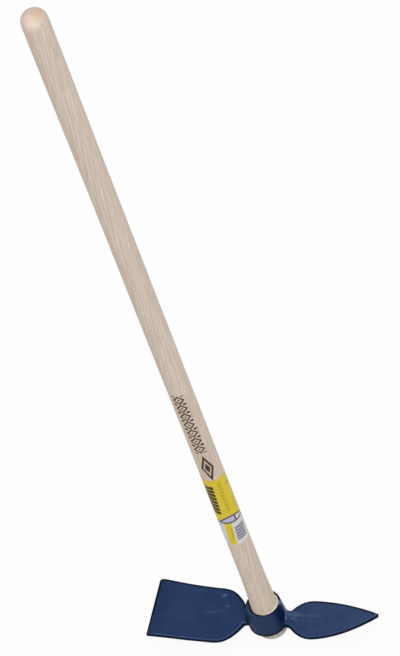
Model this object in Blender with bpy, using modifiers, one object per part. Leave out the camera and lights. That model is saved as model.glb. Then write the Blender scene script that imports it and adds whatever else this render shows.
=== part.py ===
"""A double hoe: a forged head with a square blade and a pointed blade, jammed on the flared foot of an
ash handle, which carries a wrapped label. Metres, +Z up along the handle. The origin is the centre of
the handle's sawn lower face. The square blade reaches towards -X and the pointed blade towards +X."""

import math

import bmesh
import bpy

# Handle
HANDLE_LENGTH = 1.001
FOOT_R = 0.0165           # the sawn lower end
FLARE_LENGTH = 0.090      # the cone that the eye jams on
FLARE_TOP_R = 0.0133
SHANK_R = 0.0130          # the slimmest stretch
SHANK_TAPER = 0.290       # from the flare's top up to the slimmest stretch
GRIP_R = 0.0135           # just under the domed end
GRIP_TAPER = 0.368        # from the slimmest stretch up to the dome
DOME_FULLNESS = 2.4       # 2 is a half ball, more is squarer
SAWN_CHAMFER = 0.0008

# Eye
FOOT_PROUD = 0.0145       # how far the handle's foot stands out below the eye
EYE_HEIGHT = 0.031
EYE_CLEARANCE = 0.0003    # between the handle's cone and the tapered bore
EYE_TOP_WALL = 0.0043     # mean thickness of the wall at its rims
EYE_FOOT_WALL = 0.0067
EYE_SHIFT = -0.0013       # the wall stands off the bore's axis, towards the square blade
EYE_ROUNDING = 0.0012

# Square blade
PANNE_REACH = 0.1328      # from the handle's axis to the cutting edge
PANNE_EDGE_HALF = 0.0392  # half the cutting edge
PANNE_BODY_HALF = 0.0364  # half the width at the shoulders
PANNE_NECK_REACH = 0.0277 # where it is narrowest, beside the eye
PANNE_NECK_HALF = 0.0107
PANNE_SHOULDER = 0.0570   # how far out the shoulders end
PANNE_ROUNDNESS = 0.87    # of the shoulders: less is squarer
PANNE_CAMBER = 1.06       # how fast the blade curves up towards the grip
PANNE_LIFT = 0.0006       # of its underside above the foot of the eye
PANNE_CORNER_R = 0.0022

# Pointed blade
TONGUE_REACH = 0.1287
TONGUE_HALF = 0.0254      # half its greatest width
TONGUE_NECK_HALF = 0.0102
TONGUE_WIDEST = 0.0479    # how far out that is
TONGUE_ROUNDNESS = 0.79
TONGUE_CAMBER = 1.24
TONGUE_LIFT = -0.0003     # its underside lies a little lower than the square blade's
TONGUE_TIP_HALF = 0.0019  # half the blunt tip
TONGUE_FULLNESS = 1.77    # 1 runs straight to the point, more is fuller
TONGUE_LEAN = -0.12       # forward shift for each unit across, as forged by hand

# Both blades
BLADE_THICK = 0.0032
EDGE_THICK = 0.0018
EDGE_LAND = 0.012         # the margin over which a blade thins to its edge
BLADE_SLOPE = 0.025       # where a blade starts to rise
NECK_REACH = 0.0235       # how far out that is, beside the eye
ROOT_FROM_BORE = 0.001
RIB_RISE = 0.0036         # of the rib over the neck
RIB_HALF = 0.0085
RIB_FADE = 0.036          # how far past the neck the rib fades out

# Label
LABEL_LOW = 0.1775
LABEL_HEIGHT = 0.1145
LABEL_RIGHT_EDGE = math.radians(5.0)
LABEL_WRAP = math.radians(262.0)
LABEL_GAP = 0.0003
LABEL_THICK = 0.00025

# Fineness of the facets
TURNED_STEPS = 48
DOME_STEPS = 8
SHANK_STEPS = 14
ROUNDING_STEPS = 3
NECK_STATIONS = 3
BLADE_STATIONS = 24
ACROSS = (0.0, 0.12, 0.26, 0.45, 0.7, 0.88)
LABEL_COLUMNS = 36
LABEL_ROWS = 5

EYE_FOOT_Z = FOOT_PROUD
EYE_TOP_Z = FOOT_PROUD + EYE_HEIGHT
DOME_Z = HANDLE_LENGTH - GRIP_R
CUT_PAST = 0.005          # how far the bore's cutter runs past both ends of the eye


def mix(first, second, share):
    return first + (second - first) * share


def eased(value, start, end):
    """A share that is 0 up to start and 1 from end, and leaves both without a corner."""
    share = min(max((value - start) / (end - start), 0.0), 1.0)
    return share * share * (3.0 - 2.0 * share)


def handle_radius(height):
    """The turned profile below the dome: jamming cone, slim shank, fuller grip."""
    if height < FLARE_LENGTH:
        return mix(FOOT_R, FLARE_TOP_R, height / FLARE_LENGTH)
    if height < DOME_Z - GRIP_TAPER:
        return mix(FLARE_TOP_R, SHANK_R, eased(height, FLARE_LENGTH, FLARE_LENGTH + SHANK_TAPER))
    return mix(SHANK_R, GRIP_R, eased(height, DOME_Z - GRIP_TAPER, DOME_Z))


def bore_radius(height):
    return handle_radius(height) + EYE_CLEARANCE


def clear_scene():
    for old in list(bpy.data.objects):
        bpy.data.objects.remove(old, do_unlink=True)


def new_collection(name):
    collection = bpy.data.collections.new(name)
    bpy.context.scene.collection.children.link(collection)
    return collection


def principled(name, colour, roughness):
    material = bpy.data.materials.new(name)
    material.use_nodes = True
    shader = material.node_tree.nodes["Principled BSDF"]
    shader.inputs["Base Color"].default_value = (*colour, 1.0)
    shader.inputs["Roughness"].default_value = roughness
    shader.inputs["Metallic"].default_value = 0.0
    return material


def object_from(shape, name, collection, material=None):
    """Moves a bmesh into a new object."""
    mesh = bpy.data.meshes.new(name)
    shape.to_mesh(mesh)
    shape.free()
    made = bpy.data.objects.new(name, mesh)
    collection.objects.link(made)
    if material:
        mesh.materials.append(material)
    return made


def turned(name, profile, collection, material=None):
    """Turns (radius, height) points, listed from top to bottom, round Z."""
    shape = bmesh.new()
    points = [shape.verts.new((radius, 0.0, height)) for radius, height in profile]
    for upper, lower in zip(points, points[1:]):
        shape.edges.new((upper, lower))
    made = object_from(shape, name, collection, material)
    screw = made.modifiers.new("turn", "SCREW")
    screw.angle = math.tau
    screw.steps = TURNED_STEPS
    screw.render_steps = TURNED_STEPS
    screw.use_merge_vertices = True
    screw.merge_threshold = 0.00002
    screw.use_smooth_shade = True
    return made


def as_tool(made):
    """Marks an object as a cutter or a lump to be joined, which isn't a piece by itself."""
    made.hide_render = True
    made.display_type = "WIRE"
    return made


def add_boolean(target, tool, operation):
    modifier = target.modifiers.new(operation.lower() + " " + tool.name, "BOOLEAN")
    modifier.operation = operation
    modifier.solver = "EXACT"
    modifier.object = tool


def quarter(centre_radius, centre_height, radius, start, steps):
    """Points of a quarter circle from start to start minus 90 degrees, as (radius, height)."""
    angles = [math.radians(start - 90.0 * step / steps) for step in range(steps + 1)]
    return [(centre_radius + radius * math.cos(a), centre_height + radius * math.sin(a)) for a in angles]


def dome_profile():
    """The rounded end of the grip, from its top down."""
    points = [(0.0, HANDLE_LENGTH)]
    for step in range(1, DOME_STEPS + 1):
        angle = math.pi / 2 * (1.0 - step / DOME_STEPS)
        radius = GRIP_R * math.cos(angle) ** (2.0 / DOME_FULLNESS)
        points.append((radius, DOME_Z + GRIP_R * math.sin(angle) ** (2.0 / DOME_FULLNESS)))
    return points


def make_handle(collection):
    heights = [mix(DOME_Z, FLARE_LENGTH, step / SHANK_STEPS) for step in range(1, SHANK_STEPS + 1)]
    heights += [EYE_TOP_Z, EYE_FOOT_Z, SAWN_CHAMFER]
    sides = [(handle_radius(height), height) for height in heights]
    foot = [(FOOT_R - SAWN_CHAMFER, 0.0), (0.0, 0.0)]
    ash = principled("ash", (0.60, 0.50, 0.41), 0.6)
    return turned("handle", dome_profile() + sides + foot, collection, ash)


def eye_profile():
    """The blank of the eye, before its bore: a cone that widens downwards, with rounded rims."""
    top_r = bore_radius(EYE_TOP_Z) + EYE_TOP_WALL
    foot_r = bore_radius(EYE_FOOT_Z) + EYE_FOOT_WALL
    upper = EYE_TOP_Z - EYE_ROUNDING
    lower = EYE_FOOT_Z + EYE_ROUNDING
    return (
        [(0.0, EYE_TOP_Z)]
        + quarter(top_r - EYE_ROUNDING, upper, EYE_ROUNDING, 90.0, ROUNDING_STEPS)
        + quarter(foot_r - EYE_ROUNDING, lower, EYE_ROUNDING, 0.0, ROUNDING_STEPS)
        + [(0.0, EYE_FOOT_Z)]
    )


def bore_profile():
    high = EYE_TOP_Z + CUT_PAST
    low = EYE_FOOT_Z - CUT_PAST
    return [(0.0, high), (bore_radius(high), high), (bore_radius(low), low), (0.0, low)]


def panne_half(reach):
    """Half the square blade's width: neck, round shoulders, then sides that spread to the edge."""
    if reach < PANNE_SHOULDER:
        share = max(reach - PANNE_NECK_REACH, 0.0) / (PANNE_SHOULDER - PANNE_NECK_REACH)
        return mix(PANNE_NECK_HALF, PANNE_BODY_HALF, math.sin(math.pi / 2 * share) ** PANNE_ROUNDNESS)
    share = (reach - PANNE_SHOULDER) / (PANNE_REACH - PANNE_SHOULDER)
    half = mix(PANNE_BODY_HALF, PANNE_EDGE_HALF, share * share)
    past = max(reach - (PANNE_REACH - PANNE_CORNER_R), 0.0)
    return half - PANNE_CORNER_R + math.sqrt(max(PANNE_CORNER_R ** 2 - past ** 2, 0.0))


def tongue_half(reach):
    """Half the pointed blade's width: neck, round shoulders, then full sides to a blunt tip."""
    if reach < TONGUE_WIDEST:
        share = max(reach - NECK_REACH, 0.0) / (TONGUE_WIDEST - NECK_REACH)
        return mix(TONGUE_NECK_HALF, TONGUE_HALF, math.sin(math.pi / 2 * share) ** TONGUE_ROUNDNESS)
    share = (reach - TONGUE_WIDEST) / (TONGUE_REACH - TONGUE_WIDEST)
    return mix(TONGUE_HALF, TONGUE_TIP_HALF, share ** TONGUE_FULLNESS)


def section(reach, end, half, lift, camber):
    """Points round a blade's section, as (across, height)."""
    out = max(reach - NECK_REACH, 0.0)
    underside = EYE_FOOT_Z + lift + BLADE_SLOPE * out + camber * out * out
    middle_thick = mix(BLADE_THICK, EDGE_THICK, eased(reach, end - EDGE_LAND, end))
    land = min(EDGE_LAND, half / 2)
    rib = RIB_RISE * (1.0 - eased(out, 0.0, RIB_FADE))
    edge_r = min(EDGE_THICK / 2, half / 2)

    def faces(across):
        thick = mix(middle_thick, EDGE_THICK, eased(abs(across), half - land, half))
        low = underside + (middle_thick - thick) / 2
        rise = rib * math.exp(-((across / RIB_HALF) ** 2))
        return low, low + thick + rise

    flat_half = half - edge_r
    side = [flat_half * share for share in ACROSS]
    across = [-value for value in reversed(side[1:])] + side
    low, high = faces(flat_half)
    mid = (low + high) / 2
    round_r = (high - low) / 2
    bend = math.sqrt(0.5)
    right = [(flat_half, high), (flat_half + edge_r * bend, mid + round_r * bend), (half, mid),
             (flat_half + edge_r * bend, mid - round_r * bend), (flat_half, low)]
    left = [(-value, height) for value, height in reversed(right)]
    top = [(value, faces(value)[1]) for value in across]
    bottom = [(value, faces(value)[0]) for value in reversed(across)]
    return top + right + bottom + left


def stations(end):
    """Distances from the handle's axis at which a blade has a section, closer together at its ends."""
    root = bore_radius(EYE_FOOT_Z) + ROOT_FROM_BORE
    inner = [mix(root, NECK_REACH, step / NECK_STATIONS) for step in range(NECK_STATIONS)]
    outer = []
    for step in range(BLADE_STATIONS + 1):
        share = (1.0 - math.cos(math.pi * step / BLADE_STATIONS)) / 2
        outer.append(mix(NECK_REACH, end, share))
    return inner + outer


def loft(name, rings, collection, material=None):
    """Joins rings of points that have the same count, and caps both ends."""
    shape = bmesh.new()
    loops = [[shape.verts.new(point) for point in ring] for ring in rings]
    count = len(loops[0])
    for near, far in zip(loops, loops[1:]):
        for index in range(count):
            after = (index + 1) % count
            shape.faces.new((near[index], near[after], far[after], far[index]))
    shape.faces.new(loops[0])
    shape.faces.new(loops[-1])
    bmesh.ops.recalc_face_normals(shape, faces=shape.faces)
    return object_from(shape, name, collection, material)


def make_panne(collection, material):
    """The square blade, which the eye and the other blade are joined to."""
    rings = []
    for reach in stations(PANNE_REACH):
        points = section(reach, PANNE_REACH, panne_half(reach), PANNE_LIFT, PANNE_CAMBER)
        rings.append([(-reach, y, z) for y, z in points])
    return loft("head", rings, collection, material)


def make_tongue(collection):
    rings = []
    for reach in stations(TONGUE_REACH):
        points = section(reach, TONGUE_REACH, tongue_half(reach), TONGUE_LIFT, TONGUE_CAMBER)
        rings.append([(reach + TONGUE_LEAN * y, y, z) for y, z in points])
    return as_tool(loft("tongue", rings, collection))


def make_head(collection, tools):
    """The eye with both blades joined to it and the tapered bore cut through."""
    head = make_panne(collection, principled("blue_paint", (0.022, 0.046, 0.115), 0.45))
    eye = as_tool(turned("eye", eye_profile(), tools))
    eye.location.x = EYE_SHIFT
    add_boolean(head, eye, "UNION")
    add_boolean(head, make_tongue(tools), "UNION")
    add_boolean(head, as_tool(turned("bore", bore_profile(), tools)), "DIFFERENCE")
    return head


def make_label(collection):
    """A sheet bent round the handle, with its thickness outwards."""
    shape = bmesh.new()
    bmesh.ops.create_grid(shape, x_segments=LABEL_COLUMNS, y_segments=LABEL_ROWS, size=0.5)
    for vert in shape.verts:
        angle = LABEL_RIGHT_EDGE - LABEL_WRAP * (0.5 - vert.co.x)
        height = LABEL_LOW + LABEL_HEIGHT * (0.5 + vert.co.y)
        radius = handle_radius(height) + LABEL_GAP
        vert.co = (radius * math.cos(angle), radius * math.sin(angle), height)
    label = object_from(shape, "label", collection, principled("printed_film", (0.62, 0.51, 0.04), 0.35))
    sheet = label.modifiers.new("sheet", "SOLIDIFY")
    sheet.thickness = LABEL_THICK
    sheet.offset = 1.0
    sheet.use_even_offset = True
    return label


def main():
    clear_scene()
    parts = new_collection("double_hoe")
    tools = new_collection("cutters")
    make_handle(parts)
    make_head(parts, tools)
    make_label(parts)


main()
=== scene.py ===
import math

import bmesh
import bpy
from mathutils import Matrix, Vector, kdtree


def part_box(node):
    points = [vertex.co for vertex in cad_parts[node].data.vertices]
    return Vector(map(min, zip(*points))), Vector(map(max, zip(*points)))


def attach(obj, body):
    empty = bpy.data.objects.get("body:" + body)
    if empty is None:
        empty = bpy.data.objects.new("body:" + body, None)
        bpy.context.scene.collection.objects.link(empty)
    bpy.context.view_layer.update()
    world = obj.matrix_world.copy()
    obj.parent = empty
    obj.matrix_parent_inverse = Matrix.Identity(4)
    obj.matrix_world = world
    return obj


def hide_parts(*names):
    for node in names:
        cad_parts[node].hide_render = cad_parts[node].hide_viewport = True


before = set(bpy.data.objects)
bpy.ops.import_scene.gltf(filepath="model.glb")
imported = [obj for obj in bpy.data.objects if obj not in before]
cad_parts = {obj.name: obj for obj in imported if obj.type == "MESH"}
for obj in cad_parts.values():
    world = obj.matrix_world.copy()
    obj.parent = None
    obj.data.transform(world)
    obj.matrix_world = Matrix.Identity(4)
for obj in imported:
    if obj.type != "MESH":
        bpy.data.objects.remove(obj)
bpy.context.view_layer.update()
print("frame loaded:", ", ".join(sorted(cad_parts)))

# camera, as found from the outline of the tool; the turn is in degrees
view = {
    "place": (1.25648, -2.27723, 3.42333),
    "turn": (39.855, 13.678, 12.146),
    "focalPixels": 3850.0,
    "pictureHeight": 656.0,
    "sensorHeight": 24.0,
}

# studio
studio = {
    "ambient": 0.75,
    "keyPlace": (1.55, -1.85, 3.4),
    "keySize": 2.2,
    "keyPower": 41.0,
    "floorSize": 12.0,
    "floorColour": 0.92,
    "floorGlow": 0.93,            # share of plain white in what the camera sees of the floor
}


def addCamera():
    data = bpy.data.cameras.new("camera")
    data.sensor_fit = "VERTICAL"
    data.sensor_height = view["sensorHeight"]
    data.lens = view["focalPixels"] * view["sensorHeight"] / view["pictureHeight"]
    data.clip_start = 0.1
    data.clip_end = 50.0
    camera = bpy.data.objects.new("camera", data)
    camera.location = view["place"]
    camera.rotation_euler = [math.radians(angle) for angle in view["turn"]]
    bpy.context.scene.collection.objects.link(camera)
    bpy.context.scene.camera = camera


# node helpers
def addNode(tree, kind, values=None, **settings):
    node = tree.nodes.new("ShaderNode" + kind)
    for name, value in settings.items():
        setattr(node, name, value)
    for name, value in (values or {}).items():
        if isinstance(value, bpy.types.NodeSocket):
            tree.links.new(value, node.inputs[name])
        else:
            node.inputs[name].default_value = value
    return node


def after(kind, values, **settings):      # a node in the tree of the sockets that feed it
    tree = next(value.id_data for value in values.values() if isinstance(value, bpy.types.NodeSocket))
    return addNode(tree, kind, values, **settings)


def link(output, target):
    target.id_data.links.new(output, target)


def axesOf(place):
    return after("SeparateXYZ", {0: place}).outputs


def calc(operation, *values, clamp=False):
    return after("Math", dict(enumerate(values)), operation=operation, use_clamp=clamp).outputs[0]


def times(first, second):
    return calc("MULTIPLY", first, second)


def plus(first, second):
    return calc("ADD", first, second)


def minus(first, second):
    return calc("SUBTRACT", first, second)


def rise(value, low, high):      # 0 below low, 1 above high
    settings = {"Value": value, "From Min": low, "From Max": high}
    return after("MapRange", settings, interpolation_type="SMOOTHSTEP").outputs[0]


def falls(value, low, high):      # 1 below low, 0 above high
    return minus(1.0, rise(value, low, high))


def distance(across, along):      # from the origin of the two
    both = after("CombineXYZ", {"X": across, "Y": along})
    return after("VectorMath", {0: both.outputs[0]}, operation="LENGTH").outputs["Value"]


def band(value, low, high, soft):
    up = rise(value, low - soft, low + soft)
    down = rise(value, high - soft, high + soft)
    return calc("SUBTRACT", up, down, clamp=True)


def patch(across, up, area, soft):      # area is (left, right, bottom, top)
    left, right, bottom, top = area
    return times(band(across, left, right, soft), band(up, bottom, top, soft))


def spot(place, centre, radius):      # 1 at a point of the surface, fading to 0 at the radius
    away = after("VectorMath", {0: place, 1: centre}, operation="DISTANCE").outputs["Value"]
    return falls(away, radius * 0.25, radius)


def tint(share, first, second):
    colours = [colour if isinstance(colour, bpy.types.NodeSocket) else (*colour, 1.0)
               for colour in (first, second)]
    return after("Mix", {0: share, 6: colours[0], 7: colours[1]}, data_type="RGBA").outputs[2]


def stain(colour, mask, share, second):      # lays a second colour where the mask is
    return tint(times(mask, share), colour, second)


def noise(place, stretch, scale, detail=2.0, roughness=0.5):
    mapping = after("Mapping", {"Vector": place, "Scale": stretch})
    values = {"Vector": mapping.outputs[0], "Scale": scale, "Detail": detail, "Roughness": roughness}
    return after("TexNoise", values).outputs["Fac"]


def newMaterial(name, roughness, gloss):
    material = bpy.data.materials.new(name)
    material.use_nodes = True
    tree = material.node_tree
    shader = tree.nodes["Principled BSDF"]
    shader.inputs["Roughness"].default_value = roughness
    shader.inputs["Specular IOR Level"].default_value = gloss
    return material, tree, shader


def addBump(shader, height, strength, depth):
    values = {"Height": height, "Strength": strength, "Distance": depth}
    link(after("Bump", values).outputs[0], shader.inputs["Normal"])


# world, lamp and floor
def whiteForCamera(tree):      # 1 for rays from the camera and for what metal and glass mirror
    path = addNode(tree, "LightPath").outputs
    seen = calc("ADD", path["Is Camera Ray"], path["Is Glossy Ray"], clamp=True)
    return calc("ADD", seen, path["Is Transmission Ray"], clamp=True)


def addStudio():
    world = bpy.data.worlds.new("studio")
    bpy.context.scene.world = world
    world.use_nodes = True
    tree = world.node_tree
    tree.nodes.clear()
    ambient = addNode(tree, "Background", {"Color": (1, 1, 1, 1), "Strength": studio["ambient"]})
    white = addNode(tree, "Background", {"Color": (1, 1, 1, 1), "Strength": 1.0})
    mixed = addNode(tree, "MixShader", {0: whiteForCamera(tree)})
    link(ambient.outputs[0], mixed.inputs[1])
    link(white.outputs[0], mixed.inputs[2])
    out = addNode(tree, "OutputWorld")
    link(mixed.outputs[0], out.inputs["Surface"])

    data = bpy.data.lights.new("key", "AREA")
    data.shape = "DISK"
    data.size = studio["keySize"]
    data.energy = studio["keyPower"]
    key = bpy.data.objects.new("key", data)
    key.location = studio["keyPlace"]
    key.rotation_euler = (-key.location).to_track_quat("-Z", "Y").to_euler()
    bpy.context.scene.collection.objects.link(key)

    bpy.ops.mesh.primitive_plane_add(size=studio["floorSize"], location=(0, 0, 0))
    floor = bpy.context.object
    floor.name = "floor"
    material, tree, shader = newMaterial("pale_floor", 0.9, 0.0)
    pale = studio["floorColour"]
    shader.inputs["Base Color"].default_value = (pale, pale, pale, 1)
    glow = addNode(tree, "Emission", {"Color": (1, 1, 1, 1), "Strength": 1.0})
    share = times(whiteForCamera(tree), studio["floorGlow"])
    mixed = addNode(tree, "MixShader", {0: share})
    link(shader.outputs[0], mixed.inputs[1])
    link(glow.outputs[0], mixed.inputs[2])
    link(mixed.outputs[0], tree.nodes["Material Output"].inputs["Surface"])
    floor.data.materials.append(material)


# edit mode helpers
def deselectAll():
    bpy.ops.object.select_all(action="DESELECT")


def startEditing():
    bpy.ops.object.mode_set(mode="EDIT")


def stopEditing():
    bpy.ops.object.mode_set(mode="OBJECT")


def editedMesh():
    return bmesh.from_edit_mesh(bpy.context.edit_object.data)


def pick(kind, test):      # kind is verts, edges or faces
    bpy.context.tool_settings.mesh_select_mode = [kind == each for each in ("verts", "edges", "faces")]
    bpy.ops.mesh.select_all(action="DESELECT")
    mesh = editedMesh()
    for part in getattr(mesh, kind):
        if test(part):
            part.select_set(True)
    mesh.select_flush(True)
    bmesh.update_edit_mesh(bpy.context.edit_object.data)


def pickPoints(numbers):
    bpy.context.tool_settings.mesh_select_mode = (True, False, False)
    bpy.ops.mesh.select_all(action="DESELECT")
    mesh = editedMesh()
    mesh.verts.ensure_lookup_table()
    for number in numbers:
        mesh.verts[number].select_set(True)
    mesh.select_flush(True)
    bmesh.update_edit_mesh(bpy.context.edit_object.data)


def grow(x, y, z):      # extrudes what is selected
    bpy.ops.mesh.extrude_region_move(TRANSFORM_OT_translate={"value": (x, y, z)})


def resize(x, y, z, centre):
    bpy.ops.transform.resize(value=(x, y, z), center_override=centre)


def radiusOf(point):
    return math.hypot(point.co.x, point.co.y)


def onLoop(edge, radius, height, centre=0.0):
    return all(abs(math.hypot(p.co.x - centre, p.co.y) - radius) < 0.0002
               and abs(p.co.z - height) < 0.0002 for p in edge.verts)


def applyModifier(piece, kind, **settings):
    modifier = piece.modifiers.new(kind.lower(), kind)
    for name, value in settings.items():
        setattr(modifier, name, value)
    bpy.context.view_layer.objects.active = piece
    bpy.ops.object.modifier_apply(modifier=modifier.name)


def finishPiece(piece, name, material, node):
    piece.name = name
    piece.data.name = name
    deselectAll()
    piece.select_set(True)
    bpy.context.view_layer.objects.active = piece
    bpy.ops.object.transform_apply(location=True, rotation=True, scale=True)
    piece.data.materials.clear()
    piece.data.materials.append(material)
    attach(piece, "root")
    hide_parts(node)
    print(name, "made,", len(piece.data.polygons), "faces")


def eased(value, start, end):
    share = min(max((value - start) / (end - start), 0.0), 1.0)
    return share * share * (3.0 - 2.0 * share)


def mix(first, second, share):
    return first + (second - first) * share


# the forged head
headLow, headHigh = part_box("head")
eye = {
    "foot": 0.0145,             # height of the lower rim
    "top": headHigh.z,
    "segments": 72,
    "outerFoot": 0.0229,        # radii
    "outerTop": 0.0199,
    "boreFoot": 0.0163,
    "boreTop": 0.0152,
    "footShift": -0.0018,       # the wall stands off the bore's axis, towards the square blade
    "topShift": -0.0013,
    "rows": 5,                  # above the necks
    "rimRounding": 0.0006,
    "neckAngle": 25.0,          # half the angle that a neck takes of the wall, in degrees
    "neckFoot": 0.0012,         # where a neck starts above the lower rim
    "neckThick": 0.0062,
}
panne = {
    "side": -1,
    "reach": -headLow.x,
    "neckReach": 0.0277,
    "neckHalf": 0.0107,
    "firstReach": 0.0266,
    "edgeHalf": 0.03895,
    "bodyHalf": 0.03645,
    "shoulder": 0.0563,
    "roundness": 0.83,
    "camber": 1.06,
    "lift": 0.0006,
    "lean": 0.0,
    "drift": 0.00025,           # of its middle line, away from the near side
    "farCorner": 0.0042,        # radii of the two corners
    "nearCorner": 0.0012,
    "cornerShare": 0.965,       # the points that these move lie further out than this
}
tongue = {
    "side": 1,
    "reach": 0.1280,
    "neckReach": 0.0235,
    "neckHalf": 0.0102,
    "firstReach": 0.0242,
    "half": 0.02555,
    "widest": 0.0479,
    "roundness": 0.775,
    "fullness": 1.77,
    "tipHalf": 0.0019,
    "camber": 1.24,
    "lift": -0.0003,
    "drift": -0.0002,
    "lean": 6.84,               # degrees that the sections are turned
}
blades = {
    "thick": 0.0032,
    "edgeThick": 0.0018,
    "land": 0.012,              # the margin that thins to the edge
    "slope": 0.025,
    "rootReach": 0.0235,
    "ribRise": 0.0036,
    "ribHalf": 0.0085,
    "ribFade": 0.036,
    "driftReach": (0.030, 0.055),       # where the middle line leaves the axis and is fully off it
    "forgingScale": 0.018,      # of the uneven forged surface
    "forgingDepth": 0.0005,
    "markedFrom": (-0.0248, 0.0225),    # along X, where the dark outline of the blades starts
    "stations": 20,
    "columns": (0.0, 0.16, 0.34, 0.60, 0.90, 1.0),
}


def panneHalf(reach):
    if reach < panne["shoulder"]:
        share = max(reach - panne["neckReach"], 0.0) / (panne["shoulder"] - panne["neckReach"])
        return mix(panne["neckHalf"], panne["bodyHalf"], math.sin(math.pi / 2 * share) ** panne["roundness"])
    share = (reach - panne["shoulder"]) / (panne["reach"] - panne["shoulder"])
    return mix(panne["bodyHalf"], panne["edgeHalf"], share * share)


def tongueHalf(reach):
    if reach < tongue["widest"]:
        share = max(reach - tongue["neckReach"], 0.0) / (tongue["widest"] - tongue["neckReach"])
        return mix(tongue["neckHalf"], tongue["half"], math.sin(math.pi / 2 * share) ** tongue["roundness"])
    share = (reach - tongue["widest"]) / (tongue["reach"] - tongue["widest"])
    return mix(tongue["half"], tongue["tipHalf"], share ** tongue["fullness"])


def sectionHeights(plan, reach, half, across):      # low, middle and high at one place of a blade
    out = max(reach - blades["rootReach"], 0.0)
    underside = eye["foot"] + plan["lift"] + blades["slope"] * out + plan["camber"] * out * out
    thin = blades["edgeThick"]
    middle = mix(blades["thick"], thin, eased(reach, plan["reach"] - blades["land"], plan["reach"]))
    land = min(blades["land"], half / 2)
    thick = mix(middle, thin, eased(abs(across), half - land, half))
    fade = 1.0 - eased(out, 0.0, blades["ribFade"])
    rib = blades["ribRise"] * fade * math.exp(-((across / blades["ribHalf"]) ** 2))
    low = underside + (middle - thick) / 2
    high = low + thick + rib
    return low, (low + high) / 2, high


def wallCentre(height):
    share = (height - eye["foot"]) / (eye["top"] - eye["foot"])
    return mix(eye["footShift"], eye["topShift"], share)


def makeEyeRing():
    foot, top = eye["foot"], eye["top"]
    footShift, topShift = eye["footShift"], eye["topShift"]

    def onFootLoops(edge):
        return onLoop(edge, eye["boreFoot"], foot) or onLoop(edge, eye["outerFoot"], foot, footShift)

    bpy.ops.mesh.primitive_cylinder_add(
        vertices=eye["segments"], radius=eye["outerFoot"], depth=top - foot,
        end_fill_type="NOTHING", location=(footShift, 0, (foot + top) / 2))
    bpy.ops.object.transform_apply(location=True)
    startEditing()
    pick("verts", lambda p: p.co.z > top - 0.001)
    shrink = eye["outerTop"] / eye["outerFoot"]
    resize(shrink, shrink, 1, (footShift, 0, top))
    bpy.ops.transform.translate(value=(topShift - footShift, 0, 0))
    neckTop = foot + eye["neckFoot"] + eye["neckThick"]
    rows = [foot + eye["neckFoot"], foot + eye["neckFoot"] + eye["neckThick"] / 2, neckTop]
    rows += [mix(neckTop, top, step / eye["rows"]) for step in range(1, eye["rows"])]
    for height in rows:
        pick("faces", lambda f: True)
        bpy.ops.mesh.bisect(plane_co=(0, 0, height), plane_no=(0, 0, 1))
    # rim and bore, which are centred on the handle
    pick("edges", lambda e: onLoop(e, eye["outerTop"], top, topShift))
    grow(0, 0, 0)
    inner = eye["boreTop"] / eye["outerTop"]
    resize(inner, inner, 1, (topShift, 0, top))
    bpy.ops.transform.translate(value=(-topShift, 0, 0))
    grow(0, 0, foot - top)
    inner = eye["boreFoot"] / eye["boreTop"]
    resize(inner, inner, 1, (0, 0, foot))
    pick("edges", onFootLoops)
    bpy.ops.mesh.bridge_edge_loops()
    pick("edges", lambda e: onLoop(e, eye["outerTop"], top, topShift) or onLoop(e, eye["boreTop"], top))
    bpy.ops.mesh.bevel(offset=eye["rimRounding"], segments=2, affect="EDGES")
    pick("edges", onFootLoops)
    bpy.ops.mesh.bevel(offset=eye["rimRounding"], segments=2, affect="EDGES")


def levelCap(half):      # spreads the points of a neck's first section evenly, row by row
    mesh = editedMesh()
    mesh.verts.index_update()
    rows = {}
    for point in mesh.verts:
        if point.select:
            rows.setdefault(round(point.co.z, 4), []).append((abs(point.co.y), point.index))
    moves = []
    for points in rows.values():
        points.sort()
        for rank, share in list(enumerate(blades["columns"]))[1:]:
            pair = points[2 * rank - 1:2 * rank + 1]
            moves.append((pair[0][0], share * half, [number for across, number in pair]))
    everyPoint = [number for points in rows.values() for across, number in points]
    for across, wanted, pair in moves:
        pickPoints(pair)
        resize(1, wanted / across, 1, (0, 0, 0))
    pickPoints(everyPoint)


def capColumns(half):      # the selected section: for each column its heights and their points
    mesh = editedMesh()
    mesh.verts.index_update()
    columns = {share: {} for share in blades["columns"]}
    for point in mesh.verts:
        if point.select:
            share = min(columns, key=lambda each: abs(each - abs(point.co.y) / half))
            columns[share].setdefault(round(point.co.z, 6), []).append(point.index)
    return columns


def shapeSection(plan, reach, half):
    columns = capColumns(half)
    everyPoint = [number for rows in columns.values() for numbers in rows.values() for number in numbers]
    for share, rows in columns.items():
        for height, wanted in zip(sorted(rows), sectionHeights(plan, reach, half, share * half)):
            if abs(wanted - height) > 0.000001:
                pickPoints(rows[height])
                bpy.ops.transform.translate(value=(0, 0, wanted - height))
    pickPoints(everyPoint)


def stationReach(plan, step):
    share = (1.0 - math.cos(math.pi * step / blades["stations"])) / 2
    return mix(plan["firstReach"], plan["reach"], share)


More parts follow.
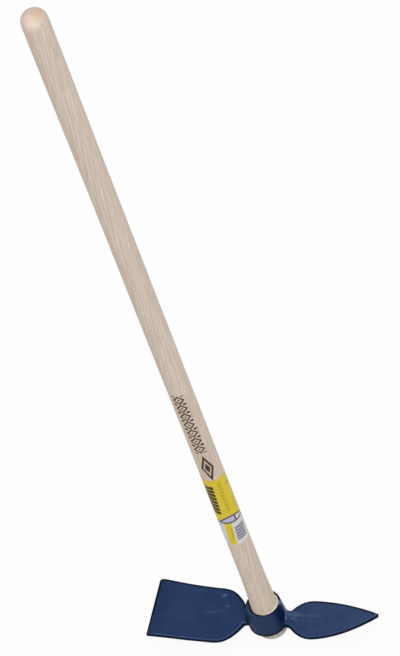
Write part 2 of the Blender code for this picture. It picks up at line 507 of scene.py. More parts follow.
def growBlade(plan, halfAt):
    side = plan["side"]
    reach = plan["firstReach"]
    half = halfAt(reach)
    spread = math.cos(math.radians(eye["neckAngle"]))
    low = eye["foot"] + eye["neckFoot"]
    high = low + eye["neckThick"]

    def inNeck(face):
        middle = face.calc_center_median()
        across = middle.x - wallCentre(middle.z)
        away = math.hypot(across, middle.y)
        return away > eye["boreFoot"] + 0.002 and side * across > spread * away and low < middle.z < high

    pick("faces", inNeck)
    grow(side * 0.004, 0, 0)
    resize(0, 1, 1, (side * reach, 0, low))
    levelCap(half)
    if plan["lean"]:
        lean = math.radians(plan["lean"])      # with no window, a turn goes the other way
        bpy.ops.transform.rotate(value=-lean, orient_axis="Z", center_override=(side * reach, 0, low))
        resize(1 / math.cos(lean), 1 / math.cos(lean), 1, (side * reach, 0, low))
    shapeSection(plan, reach, half)
    middle = 0.0
    for step in range(1, blades["stations"] + 1):
        nextReach = stationReach(plan, step)
        nextMiddle = plan["drift"] * eased(nextReach, *blades["driftReach"])
        grow(side * (nextReach - reach), nextMiddle - middle, 0)
        reach, middle = nextReach, nextMiddle
        wider = halfAt(reach) / half
        half = halfAt(reach)
        resize(wider, wider, 1, (side * reach, middle, low))
        shapeSection(plan, reach, half)
    print("blade grown, reach", round(reach, 4))


def roundCorners():      # of the square blade, by drawing its outermost points in
    share = panne["cornerShare"]
    for side, radius in ((1, panne["farCorner"]), (-1, panne["nearCorner"])):
        for step in range(blades["stations"] - 3, blades["stations"] + 1):
            reach = stationReach(panne, step)
            past = max(reach - panne["reach"] + radius, 0.0)
            inward = radius - math.sqrt(max(radius * radius - past * past, 0.0))
            half = panneHalf(reach)
            pick("verts", lambda p: abs(p.co.x + reach) < 0.0001 and side * p.co.y > share * half)
            bpy.ops.transform.translate(value=(0, -side * inward, 0))


def offWall(place):      # how far a point lies out of the cone of the eye's wall
    share = (place.z - eye["foot"]) / (eye["top"] - eye["foot"])
    return math.hypot(place.x - wallCentre(place.z), place.y) - mix(eye["outerFoot"], eye["outerTop"], share)


def onBlade(place, margin):
    nearNeck = place.x > 0 > place.y and offWall(place) > margin
    left, right = blades["markedFrom"]
    return nearNeck or not left - margin < place.x < right + margin


def markEdges(piece):      # marks how near each point is to the outline of a blade, from 0 to 1
    mesh = piece.data
    outline = [v.co for v in mesh.vertices if abs(v.normal.z) < 0.4 and onBlade(v.co, 0.0012)]
    nearest = kdtree.KDTree(len(outline))
    for index, place in enumerate(outline):
        nearest.insert(place, index)
    nearest.balance()
    near = mesh.attributes.new("outline", "FLOAT", "POINT")
    for index, point in enumerate(mesh.vertices):
        if onBlade(point.co, 0.0003):
            thin = 1.0 if onBlade(point.co, 0.0040) else 0.94
            near.data[index].value = thin - min(nearest.find(point.co)[2] / paint["edgeReach"], thin)


paint = {
    "colour": (0.0190, 0.0410, 0.1155),
    "paleColour": (0.0250, 0.0505, 0.1325),
    "tongueColour": (0.0340, 0.0610, 0.1490),
    "tipColour": (0.0430, 0.0720, 0.1660),
    "wallColour": (0.0230, 0.0400, 0.0935),
    # colour of the painted shade along the edges, rims and crease, and of the darker paint towards the
    # square edge
    "darkColour": (0.0040, 0.0070, 0.0165),
    # colour of the painted shade in the recess by the pointed blade
    "recessShadeColour": (0.0010, 0.0080, 0.0420),
    "rustColour": (0.0130, 0.0060, 0.0090),
    # colour of the scuffs and drawing marks, and of the painted highlights and painted reflection
    "rubbedColour": (0.1450, 0.1920, 0.3350),
    # colour of the painted highlights on the wall's right flank and on the rim
    "greyColour": (0.1900, 0.2200, 0.2700),
    "roughness": 0.50,
    "gloss": 0.03,
    "bump": 0.30,
    "bumpDepth": 0.0006,
    "cloudScale": 55.0,
    "mottleScale": 320.0,
    "fineScale": 1100.0,
    "drawnScale": 300.0,        # faint marks of drawing the blades out
    "drawnStretch": 0.10,
    "drawnShare": 0.05,
    "tongueStart": (0.018, 0.030),      # along X, where the pointed blade's paler paint begins
    "tipShare": 0.45,
    "squareEndShare": 0.20,     # of the darker paint towards the square edge
    "edgeBand": 0.0020,         # width of the painted shade along the edges
    "farBand": 0.0028,          # and along those on the far side
    "edgeReach": 0.006,         # distance that the mark on the points fades over
    "edgeRagged": 0.18,
    "darkShare": 0.92,
    "litShare": 0.15,           # of the lit line inside the near edges
    "litSquareMore": 0.24,      # what the square blade's has more
}
scuffsAndHighlights = [                      # pale scuffs in the paint, and a painted highlight on the pointed blade's neck; middle, half length, half width, turn in degrees, share
    ((-0.0576, 0.0268), 0.0036, 0.0021, 30.0, 0.80),
    ((-0.0514, 0.0126), 0.0034, 0.0016, 4.0, 0.42),
    ((-0.0640, 0.0036), 0.0120, 0.0011, 6.0, 0.22),
    ((-0.0560, 0.0060), 0.0080, 0.0010, 14.0, 0.20),
    ((-0.0300, -0.0085), 0.0026, 0.0013, 40.0, 0.36),
    # the next three paint the highlight along the ridge of the pointed blade's neck
    ((0.0450, 0.0040), 0.0210, 0.0024, 0.0, 0.20),
    ((0.0265, 0.0046), 0.0115, 0.0058, 0.0, 0.46),
    ((0.0290, -0.0020), 0.0055, 0.0014, -16.0, 0.40),
    ((0.1246, 0.0006), 0.0017, 0.0015, 0.0, 0.65),
]
wall = {                        # of the eye, outside; a band is (from, to, softness)
    "share": 0.90,
    "recessShade": (-40, 12, 16),            # painted shade in the recess by the pointed blade; turns round the eye, in degrees
    "recessShadeShare": 0.85,
    # painted highlight on the right flank of the wall
    "greyTurns": (11, 60, 4),
    "greyHeights": (0.022, 0.047, 0.004),
    "greyShare": 0.75,
    # painted highlight low on the left of the wall
    "rubbedTurns": (-138, -112, 8),
    "rubbedHeights": (0.015, 0.026, 0.004),
    "rubbedShare": 0.12,
    # painted shade along the lower left outline of the wall
    "darkTurns": (-190, -147, 5),
    "darkHeights": (0.010, 0.024, 0.003),
    "darkShare": 0.80,
    "creaseShade": (0.0, 0.0034, 0.0012),    # painted shade in the crease, out of the wall, beside the square blade
    "creaseShadeShare": 0.58,
    "glintTurns": (-14, 9, 4),          # light that the tongue throws on the wall
    "glintHeights": (0.0228, 0.0270, 0.0010),
    "glintClimb": 0.00027,              # up for each degree
    "glintShare": 0.95,
    "footLine": (0.0022, 0.0042),       # heights of the painted shade over the lower rim
    "footLineLeft": 0.0065,             # how much higher it reaches on the left
}
rim = {                         # of the eye, on top
    "depth": (0.0022, 0.0010),          # below the top, where its marks fade out and are full
    "mouthLine": (0.0006, 0.0018),      # width of the rusty line round the bore
    "mouthShare": 0.78,
    "leftHalf": (0.003, 0.012),         # left of the axis, where it starts to widen and is widest
    "leftWider": 0.0007,
    "leftBackWider": 0.0032,            # and more, from the axis backwards
    "leftFarWider": 0.0025,
    "farSide": (0.0030, 0.0070),        # along Y, where the whole rim is painted in shade
    # painted highlight on the rim beside the tongue
    "highlightPlace": (0.0160, 0.0028),
    "highlightRadius": 0.0044,
    "highlightShare": 0.85,
    "litTurns": (-172, -105, 8),        # lit line beside the square blade
    "litInset": (0.0028, 0.0014),
    "litShare": 0.22,
}


def scuffAndHighlightMask(place, scuffAndHighlight):      # a soft streak on the upper side, for the scuffs and the painted highlights
    centre, halfLength, halfWidth, turn, share = scuffAndHighlight
    moved = after("Mapping", {
        "Vector": place, "Location": (*centre, 0.0), "Rotation": (0, 0, math.radians(turn)),
        "Scale": (halfLength, halfWidth, 1.0)}, vector_type="TEXTURE")
    axes = axesOf(moved.outputs[0])
    return times(falls(distance(axes["X"], axes["Y"]), 0.2, 1.2), share)


def bladeColour(axes, mixed, drawn):
    body = tint(rise(axes["X"], *paint["tongueStart"]), paint["colour"], paint["tongueColour"])
    colour = tint(rise(mixed, 0.38, 0.66), body, paint["paleColour"])
    paler = calc("MAXIMUM", rise(axes["Y"], -0.004, 0.014), rise(axes["X"], 0.070, 0.110))
    paler = times(paler, rise(axes["X"], 0.030, 0.055))
    colour = stain(colour, paler, paint["tipShare"], paint["tipColour"])
    darker = falls(axes["X"], -0.134, -0.105)
    colour = stain(colour, darker, paint["squareEndShare"], paint["darkColour"])
    return stain(colour, rise(drawn, 0.50, 0.80), paint["drawnShare"], paint["rubbedColour"])


def wallPlace(axes):      # distance out of the cone of the eye's wall, turn in degrees, and radius
    tall = eye["top"] - eye["foot"]
    climb = minus(axes["Z"], eye["foot"])
    leaning = times(climb, (eye["topShift"] - eye["footShift"]) / tall)
    across = minus(minus(axes["X"], eye["footShift"]), leaning)
    radius = distance(across, axes["Y"])
    shrunk = times(climb, (eye["outerFoot"] - eye["outerTop"]) / tall)
    away = minus(radius, minus(eye["outerFoot"], shrunk))
    turn = calc("DEGREES", calc("ARCTAN2", axes["Y"], across))
    return away, turn, radius


def shadeWall(colour, axes, away, turn, onWall):
    def atTurns(name):
        return times(band(turn, *wall[name]), onWall)

    colour = stain(colour, onWall, wall["share"], paint["wallColour"])
    # painted shade in the recess beside the pointed blade
    colour = stain(colour, atTurns("recessShade"), wall["recessShadeShare"], paint["recessShadeColour"])
    # the grey patch is a painted highlight on the right flank, the pale one a painted highlight low on the
    # left, and the dark one painted shade along the lower left outline
    for name in ("grey", "rubbed", "dark"):
        mask = times(atTurns(name + "Turns"), band(axes["Z"], *wall[name + "Heights"]))
        colour = stain(colour, mask, wall[name + "Share"], paint[name + "Colour"])
    # painted shade in the crease beside the square blade
    onLeft = rise(times(axes["X"], -1.0), 0.018, 0.020)
    creaseShade = times(band(away, *wall["creaseShade"]), onLeft)
    colour = stain(colour, creaseShade, wall["creaseShadeShare"], paint["darkColour"])
    glint = times(atTurns("glintTurns"), wall["glintShare"])
    level = minus(axes["Z"], times(turn, wall["glintClimb"]))
    glint = times(glint, band(level, *wall["glintHeights"]))
    return tint(glint, colour, paint["rubbedColour"])


def edgeLines(tree, axes, mottled):      # the painted shade along the outline of the blades, and the painted lit line inside it
    ragged = times(minus(mottled, 0.5), paint["edgeRagged"])
    near = plus(addNode(tree, "Attribute", attribute_name="outline").outputs["Fac"], ragged)
    farSide = rise(axes["Y"], -0.030, 0.025)
    near = plus(near, times(farSide, (paint["farBand"] - paint["edgeBand"]) / paint["edgeReach"]))
    edge = 1.0 - paint["edgeBand"] / paint["edgeReach"]
    lit = times(band(near, edge - 0.26, edge - 0.12, 0.05), falls(axes["Y"], -0.006, 0.0))
    lit = times(lit, rise(axes["X"], -0.1290, -0.1255))
    more = times(falls(axes["X"], -0.01, 0.01), paint["litSquareMore"])
    lit = times(lit, plus(more, paint["litShare"]))
    return rise(near, edge - 0.08, edge + 0.10), lit


def mouthLine(axes):      # the rusty line round the bore, wider on the left
    leftSide = times(axes["X"], -1.0)
    onLeft = rise(leftSide, *rim["leftHalf"])
    back = times(onLeft, rise(axes["Y"], -0.0035, 0.0005))
    far = times(onLeft, rise(axes["Y"], -0.0015, 0.0020))
    wider = plus(times(back, rim["leftBackWider"]), times(far, rim["leftFarWider"]))
    wider = plus(wider, times(onLeft, rim["leftWider"]))
    radius = minus(distance(axes["X"], axes["Y"]), wider)
    start, end = [eye["boreTop"] + width for width in rim["mouthLine"]]
    return times(falls(radius, start, end), rise(axes["Z"], eye["top"] - 0.003, eye["top"] - 0.001))


def paintMaterial():
    material, tree, shader = newMaterial("blue_paint", paint["roughness"], paint["gloss"])
    place = addNode(tree, "TexCoord").outputs["Object"]
    axes = axesOf(place)
    cloudy = noise(place, (1, 1, 1), paint["cloudScale"], 3.0)
    mottled = noise(place, (1, 1, 1), paint["mottleScale"], 2.0)
    drawn = noise(place, (paint["drawnStretch"], 1, 1), paint["drawnScale"], 2.0)
    mixed = plus(times(cloudy, 0.6), times(mottled, 0.4))
    colour = bladeColour(axes, mixed, drawn)
    away, turn, radius = wallPlace(axes)
    onWall = falls(away, 0.0004, 0.0014)
    colour = shadeWall(colour, axes, away, turn, onWall)

    # painted shade: along the outline of the blades, over the lower rim, and on the far side of the upper
    # one
    outline, lit = edgeLines(tree, axes, mottled)
    colour = tint(lit, colour, paint["rubbedColour"])
    taller = times(falls(turn, -145, -108), wall["footLineLeft"])
    start, end = [eye["foot"] + height for height in wall["footLine"]]
    lower = times(falls(minus(axes["Z"], taller), start, end), onWall)
    far = times(rise(axes["Z"], eye["top"] - 0.0024, eye["top"] - 0.0010), rise(axes["Y"], *rim["farSide"]))
    dark = calc("MAXIMUM", calc("MAXIMUM", outline, lower), far)
    colour = stain(colour, dark, paint["darkShare"], paint["darkColour"])
    colour = stain(colour, mouthLine(axes), rim["mouthShare"], paint["rustColour"])
    # pale scuffs, and the painted highlight along the pointed blade's neck
    for scuffAndHighlight in scuffsAndHighlights:
        broken = times(scuffAndHighlightMask(place, scuffAndHighlight), rise(mottled, 0.25, 0.55))
        colour = tint(broken, colour, paint["rubbedColour"])

    # the upper rim: a painted highlight beside the tongue, and a painted lit line beside the square blade
    start, end = [eye["top"] - depth for depth in rim["depth"]]
    onRim = rise(axes["Z"], start, end)
    rimHighlight = times(spot(place, (*rim["highlightPlace"], eye["top"]), rim["highlightRadius"]), onRim)
    colour = stain(colour, rimHighlight, rim["highlightShare"], paint["greyColour"])
    start, end = [eye["outerTop"] - inset for inset in rim["litInset"]]
    lit = times(band(radius, start, end, 0.0004), onRim)
    lit = times(lit, band(turn, *rim["litTurns"]))
    colour = stain(colour, lit, rim["litShare"], paint["rubbedColour"])
    link(colour, shader.inputs["Base Color"])

    rough = plus(times(dark, 0.25), times(mixed, 0.12))
    link(plus(rough, paint["roughness"] - 0.06), shader.inputs["Roughness"])
    fine = noise(place, (1, 1, 1), paint["fineScale"], 3.0)
    height = plus(plus(cloudy, times(fine, 0.12)), times(drawn, 0.10))
    addBump(shader, height, paint["bump"], paint["bumpDepth"])
    return material


def makeHead():
    deselectAll()
    makeEyeRing()
    growBlade(panne, panneHalf)
    roundCorners()
    growBlade(tongue, tongueHalf)
    pick("faces", lambda f: True)
    bpy.ops.mesh.remove_doubles(threshold=0.00001)
    bpy.ops.mesh.normals_make_consistent(inside=False)
    stopEditing()
    head = bpy.context.object
    applyModifier(head, "SUBSURF", levels=2, render_levels=2)
    clouds = bpy.data.textures.new("forging", "CLOUDS")
    clouds.noise_scale = blades["forgingScale"]
    applyModifier(head, "DISPLACE", texture=clouds, texture_coords="LOCAL", mid_level=0.5, direction="Z",
                  strength=blades["forgingDepth"])
    bpy.ops.object.shade_smooth()
    markEdges(head)
    finishPiece(head, "forged_head", paintMaterial(), "head")


# the ash handle
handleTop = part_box("handle")[1].z
handle = {
    "footRadius": 0.0165,
    "chamfer": 0.0008,
    "flareLength": 0.090,
    "flareTopRadius": 0.0132,
    "shankRadius": 0.0128,
    "slimmest": 0.380,          # height
    "gripStart": 0.700,
    "gripRadius": 0.0134,
    "domeFullness": 2.4,
    "lipRise": 0.00075,         # of the wood pressed up just above the eye
    "lipShift": (0.0005, 0.0005),      # towards the pointed blade and the far side
    "lipHeight": 0.0045,
    "segments": 96,
    "rows": 30,
    "domeRows": 14,
}


def lipShare(height):
    above = height - eye["top"]
    return 1.0 - eased(above, 0.0010, handle["lipHeight"]) if above > 0.0003 else 0.0


def handleRadius(height):
    if height < handle["flareLength"]:
        radius = mix(handle["footRadius"], handle["flareTopRadius"], height / handle["flareLength"])
        return radius + handle["lipRise"] * lipShare(height)
    if height < handle["gripStart"]:
        share = eased(height, handle["flareLength"], handle["slimmest"])
        return mix(handle["flareTopRadius"], handle["shankRadius"], share)
    domeStart = handleTop - handle["gripRadius"]
    return mix(handle["shankRadius"], handle["gripRadius"], eased(height, handle["gripStart"], domeStart))


def handleProfile():
    chamfer = handle["chamfer"]
    heights = [chamfer, 0.006, eye["foot"], eye["top"] - 0.010, eye["top"] + 0.0002]
    heights += [eye["top"] + step * handle["lipHeight"] / 8 for step in range(1, 9)]
    start = heights[-1]
    domeStart = handleTop - handle["gripRadius"]
    heights += [mix(start, domeStart, step / handle["rows"]) for step in range(1, handle["rows"] + 1)]
    points = [(handleRadius(height), height) for height in heights]
    for step in range(1, handle["domeRows"]):
        angle = math.pi / 2 * step / handle["domeRows"]
        radius = handle["gripRadius"] * math.cos(angle) ** (2 / handle["domeFullness"])
        height = domeStart + handle["gripRadius"] * math.sin(angle) ** (2 / handle["domeFullness"])
        points.append((radius, height))
    return points


wood = {
    "colour": (0.677, 0.581, 0.498),
    "streakColour": (0.505, 0.405, 0.325),
    "poreColour": (0.360, 0.270, 0.200),
    "yellowColour": (0.660, 0.560, 0.400),
    "lipColour": (0.800, 0.760, 0.660),
    # colour of the painted highlight on the worn wood
    "wornHighlightColour": (0.930, 0.900, 0.840),
    "footColour": (0.440, 0.440, 0.440),
    "pitColour": (0.210, 0.170, 0.110),
    "burnColour": (0.040, 0.018, 0.010),
    "scorchColour": (0.500, 0.370, 0.240),
    "twist": 7.2,               # of the grain, in radians for each metre up
    "streakScale": 900.0,
    "streakStretch": 0.03,
    "streakShare": 0.62,
    "lines": 24.0,              # fine lines, evenly spaced round the shank
    "lineWaver": 9.0,
    "lineHeights": (0.002, 0.989, 0.002),      # from, to and softness
    "lineShare": 0.40,
    "broadScale": 150.0,
    "broadShare": 0.06,
    "poreScale": 1600.0,
    "poreShare": 0.40,
    "roughScale": 700.0,
    "yellowHeights": (0.055, 0.110),    # the flare is yellower below these
    "yellowShare": 0.45,
    "lipShare": 0.75,
    "highlightShare": 0.30,
    "frayed": 0.0050,           # how unevenly the worn wood ends
    "pitShare": 0.80,
    "footShare": 0.45,
    "scorchShare": 0.35,
    "burnShare": 0.95,
    "roughness": 0.6,
    "gloss": 0.12,
    "bump": 0.35,
    "bumpDepth": 0.0003,
}
pits = [                        # in the wood just above the eye: middle, radius, share
    ((0.0106, -0.0109, 0.0489), 0.0016, 0.45),
    ((0.0096, -0.0118, 0.0535), 0.0013, 0.28),
    ((0.0127, -0.0084, 0.0495), 0.0014, 0.28),
]
dome = {                        # end grain, with a painted highlight in the pale patch; a patch is its middle, radius and share
    "pinkColour": (0.820, 0.600, 0.520),
    "paleColour": (0.900, 0.790, 0.640),
    "orangeColour": (0.690, 0.410, 0.242),
    "pink": ((0.0005, -0.0056, 0.9988), 0.0150, 0.42),
    "pale": ((0.0016, -0.0080, 0.9966), 0.0112, 0.54),
    "orange": ((0.0056, -0.0006, 0.9990), 0.0092, 0.66),
    "leftPink": ((-0.0050, -0.0062, 0.9985), 0.0075, 0.60),
    "yellow": ((0.0078, -0.0050, 0.9984), 0.0070, 0.35),
    "heart": 0.020,             # of the year rings, along X and along Y
    "yearTurns": 2400.0,        # radians of their wave for each metre
    "yearShare": 0.34,
    "unevenScale": 520.0,
}
burn = {
    "angle": -77.0,             # degrees round the handle at its lower end
    "drift": -1.7,              # radians round the handle per metre up it
    "radius": 0.0131,           # of the wood there
    "low": 0.340,
    "high": 0.438,
    "pitch": 0.0140,
    "halfWidth": 0.0068,
    "badgeLow": 0.2930,
    "badgeHigh": 0.3350,
}


def burntMask(place):
    axes = axesOf(place)
    turn = minus(calc("ARCTAN2", axes["Y"], axes["X"]), math.radians(burn["angle"]))
    climb = minus(axes["Z"], burn["low"])
    turn = minus(turn, times(climb, burn["drift"]))
    wide = calc("ABSOLUTE", calc("DIVIDE", times(turn, burn["radius"]), burn["halfWidth"]))
    # a chain of lozenges with a core each, and pairs of ticks between them
    cell = calc("FRACT", calc("DIVIDE", climb, burn["pitch"]))
    tall = times(calc("ABSOLUTE", minus(cell, 0.5)), 2.0)
    size = plus(wide, tall)
    chain = calc("ADD", band(size, 0.62, 1.00, 0.05), falls(size, 0.16, 0.26), clamp=True)
    ticks = times(rise(tall, 0.76, 0.82), band(wide, 0.46, 1.02, 0.05))
    chain = calc("MAXIMUM", chain, ticks)
    chain = times(chain, band(axes["Z"], burn["low"], burn["high"], 0.0002))
    # one large lozenge below them
    half = (burn["badgeHigh"] - burn["badgeLow"]) / 2
    tall = calc("ABSOLUTE", minus(axes["Z"], burn["badgeLow"] + half))
    size = plus(wide, calc("DIVIDE", tall, half))
    badge = calc("ADD", band(size, 0.66, 1.04, 0.05), falls(size, 0.38, 0.48), clamp=True)
    halo = times(falls(wide, 0.9, 1.3), band(axes["Z"], burn["badgeLow"] + 0.004, burn["high"], 0.004))
    return calc("MAXIMUM", chain, badge), halo


def stainAboveEye(colour, place, axes):      # pressed and pitted wood, worn wood with a painted highlight on the right side, and the grey foot
    height = axes["Z"]
    rough = noise(place, (1, 1, 0.6), wood["roughScale"], 1.0)
    lip = band(height, eye["top"] - 0.001, eye["top"] + 0.0022, 0.0006)
    colour = stain(colour, lip, wood["lipShare"], wood["lipColour"])
    # painted highlight on the worn wood of the right side, just above the eye
    farRight = rise(plus(axes["X"], axes["Y"]), 0.010, 0.016)
    rightSide = calc("MAXIMUM", rise(axes["X"], 0.009, 0.014), farRight)
    frayed = plus(height, times(rough, wood["frayed"]))
    bright = band(frayed, eye["top"] - 0.001, eye["top"] + 0.0060, 0.0008)
    colour = stain(colour, times(rightSide, bright), wood["highlightShare"], wood["wornHighlightColour"])
    low = band(height, eye["top"] + 0.0025, eye["top"] + 0.010, 0.001)
    low = times(low, rise(rough, 0.66, 0.72))
    colour = stain(colour, low, wood["pitShare"], wood["pitColour"])
    for middle, radius, share in pits:
        colour = stain(colour, spot(place, middle, radius), share, wood["pitColour"])
    foot = falls(height, eye["foot"], eye["foot"] + 0.001)
    return stain(colour, foot, wood["footShare"], wood["footColour"])


def stainDome(colour, place, axes):
    uneven = rise(noise(place, (1, 1, 0.4), dome["unevenScale"], 2.0), 0.30, 0.55)

    def lay(colour, name, second, broken=1.0):
        middle, radius, share = dome[name]
        return stain(colour, times(spot(place, middle, radius), broken), share, second)

    colour = lay(colour, "pink", dome["pinkColour"])
    # painted highlight on the dome's near side, broken by the uneven grain
    colour = lay(colour, "pale", dome["paleColour"], plus(times(uneven, 0.35), 0.70))
    fromHeart = [minus(axes[axis], dome["heart"]) for axis in ("X", "Y")]
    years = times(distance(*fromHeart), dome["yearTurns"])
    years = rise(calc("SINE", years), -0.2, 0.9)
    years = times(years, spot(place, *dome["pink"][:2]))
    colour = stain(colour, years, dome["yearShare"], wood["streakColour"])
    colour = lay(colour, "orange", dome["orangeColour"], uneven)
    colour = lay(colour, "leftPink", dome["pinkColour"], uneven)
    return lay(colour, "yellow", wood["yellowColour"])


def woodMaterial():
    material, tree, shader = newMaterial("ash", wood["roughness"], wood["gloss"])
    place = addNode(tree, "TexCoord").outputs["Object"]
    axes = axesOf(place)
    twist = times(axes["Z"], -wood["twist"])
    grain = after("VectorRotate", {"Vector": place, "Angle": twist}, rotation_type="Z_AXIS").outputs[0]
    streaks = noise(grain, (1, 1, wood["streakStretch"]), wood["streakScale"], 2.0, 0.6)
    broad = noise(grain, (1, 1, 0.10), wood["broadScale"], 2.0)
    pores = noise(grain, (1, 1, 0.04), wood["poreScale"], 1.0)
    along = axesOf(grain)
    lines = times(calc("ARCTAN2", along["Y"], along["X"]), wood["lines"])
    lines = calc("SINE", plus(lines, times(broad, wood["lineWaver"])))
    lines = times(rise(lines, -0.5, 0.9), band(axes["Z"], *wood["lineHeights"]))
    low = times(falls(axes["Z"], *wood["yellowHeights"]), rise(broad, 0.35, 0.60))

    colour = wood["colour"]
    colour = stain(colour, rise(streaks, 0.40, 0.64), wood["streakShare"], wood["streakColour"])
    colour = stain(colour, lines, wood["lineShare"], wood["streakColour"])
    colour = stain(colour, rise(broad, 0.45, 0.70), wood["broadShare"], wood["streakColour"])
    colour = stain(colour, rise(pores, 0.60, 0.72), wood["poreShare"], wood["poreColour"])
    colour = stain(colour, low, wood["yellowShare"], wood["yellowColour"])
    colour = stainAboveEye(colour, place, axes)
    colour = stainDome(colour, place, axes)
    burnt, halo = burntMask(place)
    burnt = times(burnt, rise(pores, 0.10, 0.34))
    halo = times(halo, rise(streaks, 0.30, 0.60))
    colour = stain(colour, halo, wood["scorchShare"], wood["scorchColour"])
    colour = stain(colour, burnt, wood["burnShare"], wood["burnColour"])
    link(colour, shader.inputs["Base Color"])
    rough = plus(times(streaks, 0.15), wood["roughness"] - 0.07)
    link(rough, shader.inputs["Roughness"])
    dents = minus(times(streaks, -0.6), burnt)
    addBump(shader, dents, wood["bump"], wood["bumpDepth"])
    return material


def makeHandle():
    deselectAll()
    profile = handleProfile()
    radius = handle["footRadius"] - handle["chamfer"]
    bpy.ops.mesh.primitive_circle_add(vertices=handle["segments"], radius=radius, fill_type="NOTHING")
    startEditing()
    bpy.context.tool_settings.mesh_select_mode = (False, True, False)
    bpy.ops.mesh.select_all(action="SELECT")
    height = 0.0
    share = 0.0
    for nextRadius, nextHeight in profile:
        nextShare = lipShare(nextHeight)
        along, across = handle["lipShift"]
        grow(along * (nextShare - share), across * (nextShare - share), nextHeight - height)
        wider = nextRadius / radius
        resize(wider, wider, 1, (along * nextShare, across * nextShare, nextHeight))
        radius, height, share = nextRadius, nextHeight, nextShare
    grow(0, 0, handleTop - height)
    bpy.ops.mesh.merge(type="CENTER")
    pick("edges", lambda e: onLoop(e, handle["footRadius"] - handle["chamfer"], 0.0))
    for share in (0.66, 0.33, 0.1):      # rings of faces across the foot
        grow(0, 0, 0)
        current = radiusOf(next(p for p in editedMesh().verts if p.select))
        inner = share * handle["footRadius"] / current
        resize(inner, inner, 1, (0, 0, 0))
    bpy.ops.mesh.edge_face_add()
    pick("faces", lambda f: True)
    bpy.ops.mesh.normals_make_consistent(inside=False)
    stopEditing()
    shaft = bpy.context.object
    bpy.ops.object.shade_smooth_by_angle(angle=math.radians(35))
    finishPiece(shaft, "ash_handle", woodMaterial(), "handle")


# the label
label = {
    "low": 0.1775,
    "height": 0.1145,
    "wrap": 262.0,              # degrees
    "rightEdge": 5.0,           # degrees round the handle
    "gap": 0.00010,
    "thick": 0.00015,
    "corner": 0.0045,
    "strips": 64,
}
prints = {                      # places in millimetres from the sheet's lower left corner
    "yellow": (0.672, 0.518, 0.033),
    "olive": (0.310, 0.230, 0.018),
    "dark": (0.048, 0.026, 0.004),
    "line": (0.097, 0.090, 0.094),
    "lavender": (0.482, 0.452, 0.672),
    "white": (0.650, 0.640, 0.610),
    "grey": (0.162, 0.172, 0.242),
    "paleGrey": (0.392, 0.392, 0.472),
    "roughness": 0.42,
    "gloss": 0.10,
    "bump": 0.08,
    "bumpDepth": 0.0001,
    "grainScale": 900.0,
    "soft": 0.3,
    "strip": (28.0, 39.3, 54.5, 105.0),     # areas are left, right, bottom and top
    "stripBars": (6.3, 0.84),   # bars have a pitch and a filled share
    "stripSlant": 0.04,
    "slantFrom": 105.0,
    "row": (44.4, 48.4, 58.5, 108.5),
    "rowBars": (5.2, 0.66),
    "thinRow": (56.0, 57.0, 56.0, 77.0),
    "mark": (53.8, 58.2, 98.8, 100.4),
    "bandFoot": 39.0,           # the band is flat below and arched above
    "bandTop": 49.1,
    "bandCentre": 46.9,
    "bandArch": 0.040,
    "bandLine": 1.35,           # half the width of its outline
    "joint": (49.2, 51.0),
    "lower": (35.3, 43.4, -5.0, 38.0),
    "lowerRow": (40.8, 42.2, 10.0, 29.0),
    "lowerSlant": 0.065,        # of the three below the band
    "lowerSlantFrom": 28.0,
    "block": (45.4, 57.8, 7.0, 30.5),
    "blockBars": (4.7, 0.62),
}


def labelMaterial():
    material, tree, shader = newMaterial("printed_film", prints["roughness"], prints["gloss"])
    flat = addNode(tree, "UVMap", uv_map="print").outputs[0]
    axes = axesOf(flat)
    across = times(axes["X"], 1000.0)
    up = times(axes["Y"], 1000.0)
    place = addNode(tree, "TexCoord").outputs["Object"]
    grain = noise(place, (1, 1, 1), prints["grainScale"], 2.0)
    soft = prints["soft"]

    def bars(name):      # equal bars up an area, from its bottom
        pitch, filled = prints[name + "Bars"]
        cell = calc("FRACT", calc("DIVIDE", minus(up, prints[name][2]), pitch))
        return band(cell, 0.0, filled, 0.05)

    def area(name, sideways=across):
        return patch(sideways, up, prints[name], soft)

    def lay(colour, mask, share, name):
        return stain(colour, mask, share, prints[name])

    def slanted(slant, height):
        return minus(across, times(minus(up, prints[height]), prints[slant]))

    arch = calc("POWER", minus(across, prints["bandCentre"]), 2.0)
    arch = minus(prints["bandTop"], times(arch, prints["bandArch"]))
    arch = calc("MAXIMUM", arch, prints["bandFoot"])
    overArch = minus(up, arch)
    colour = tint(rise(overArch, -soft, soft), prints["white"], prints["yellow"])
    leaning = slanted("lowerSlant", "lowerSlantFrom")
    colour = lay(colour, area("lower", leaning), 1.0, "yellow")
    strip = area("strip", slanted("stripSlant", "slantFrom"))
    colour = lay(colour, times(strip, bars("strip")), 1.0, "dark")
    row = times(area("row"), bars("row"))
    colour = lay(colour, times(row, rise(grain, 0.25, 0.60)), 0.75, "olive")
    colour = lay(colour, area("thinRow"), 0.7, "olive")
    colour = lay(colour, area("mark"), 0.9, "line")
    colour = lay(colour, area("lowerRow", leaning), 0.6, "olive")
    block = area("block", leaning)
    colour = lay(colour, block, 0.75, "paleGrey")
    colour = lay(colour, times(block, bars("block")), 0.9, "grey")
    # the band
    overFoot = minus(up, prints["bandFoot"])
    inBand = times(rise(overFoot, -soft, soft), falls(overArch, -soft, soft))
    left, right = prints["joint"]
    pastJoint = rise(across, right - soft, right + soft)
    fill = tint(pastJoint, prints["lavender"], prints["white"])
    fill = tint(band(across, left, right, soft), fill, prints["line"])
    colour = tint(inBand, colour, fill)
    outline = calc("MINIMUM", calc("ABSOLUTE", overArch), calc("ABSOLUTE", overFoot))
    line = falls(outline, prints["bandLine"] - soft, prints["bandLine"] + soft)
    colour = lay(colour, line, 0.95, "line")
    colour = lay(colour, rise(grain, 0.3, 0.8), 0.10, "olive")
    link(colour, shader.inputs["Base Color"])
    rough = plus(times(grain, 0.12), prints["roughness"] - 0.06)
    link(rough, shader.inputs["Roughness"])
    addBump(shader, grain, prints["bump"], prints["bumpDepth"])
    return material


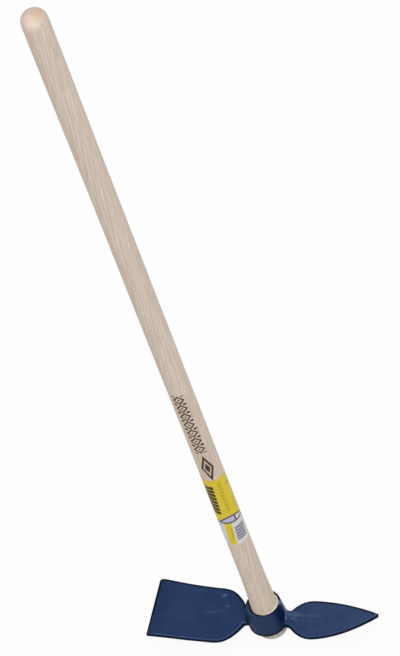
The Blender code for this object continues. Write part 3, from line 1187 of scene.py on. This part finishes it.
def makeLabel():
    deselectAll()
    middleHeight = label["low"] + label["height"] / 2
    inner = handleRadius(middleHeight) + label["gap"]
    length = inner * math.radians(label["wrap"])
    bpy.ops.mesh.primitive_plane_add(size=1.0, location=(0, 0, 0))
    sheet = bpy.context.object
    sheet.scale = (length, label["height"], 1)
    bpy.ops.object.transform_apply(scale=True)
    startEditing()
    pick("verts", lambda p: True)
    bpy.ops.mesh.bevel(offset=label["corner"], segments=6, affect="VERTICES")
    for step in range(1, label["strips"]):
        pick("faces", lambda f: True)
        bpy.ops.mesh.bisect(plane_co=((step / label["strips"] - 0.5) * length, 0, 0), plane_no=(1, 0, 0))
    for height in (-0.25, 0.0, 0.25):
        pick("faces", lambda f: True)
        bpy.ops.mesh.bisect(plane_co=(0, height * label["height"], 0), plane_no=(0, 1, 0))
    stopEditing()
    layer = sheet.data.uv_layers[0] if sheet.data.uv_layers else sheet.data.uv_layers.new()
    layer.name = "print"
    for loop in sheet.data.loops:
        place = sheet.data.vertices[loop.vertex_index].co
        layer.data[loop.index].uv = (place.x + length / 2, place.y + label["height"] / 2)
    # stood up, bent round the shank and given its thickness
    sheet.rotation_euler = (math.radians(90), 0, 0)
    bpy.ops.object.transform_apply(rotation=True)
    applyModifier(sheet, "SIMPLE_DEFORM", deform_method="BEND", deform_axis="Z",
                  angle=math.radians(label["wrap"]))
    # centred on the shank, turned to its place and tapered with the wood
    sheet.location = (0, -inner, middleHeight)
    bpy.ops.object.transform_apply(location=True)
    sheet.rotation_euler = (0, 0, math.radians(label["rightEdge"] + 90 - label["wrap"] / 2))
    bpy.ops.object.transform_apply(rotation=True)
    startEditing()
    for height in sorted({round(v.co.z, 6) for v in editedMesh().verts}):
        pick("verts", lambda p: abs(p.co.z - height) < 0.000002)
        wanted = (handleRadius(height) + label["gap"]) / inner
        resize(wanted, wanted, 1, (0, 0, height))
    stopEditing()
    applyModifier(sheet, "SOLIDIFY", thickness=label["thick"], offset=1.0)
    bpy.ops.object.shade_smooth_by_angle(angle=math.radians(35))
    finishPiece(sheet, "wrapped_label", labelMaterial(), "label")


addCamera()
addStudio()
makeHead()
makeHandle()
makeLabel()
bpy.context.scene.view_settings.view_transform = "Standard"
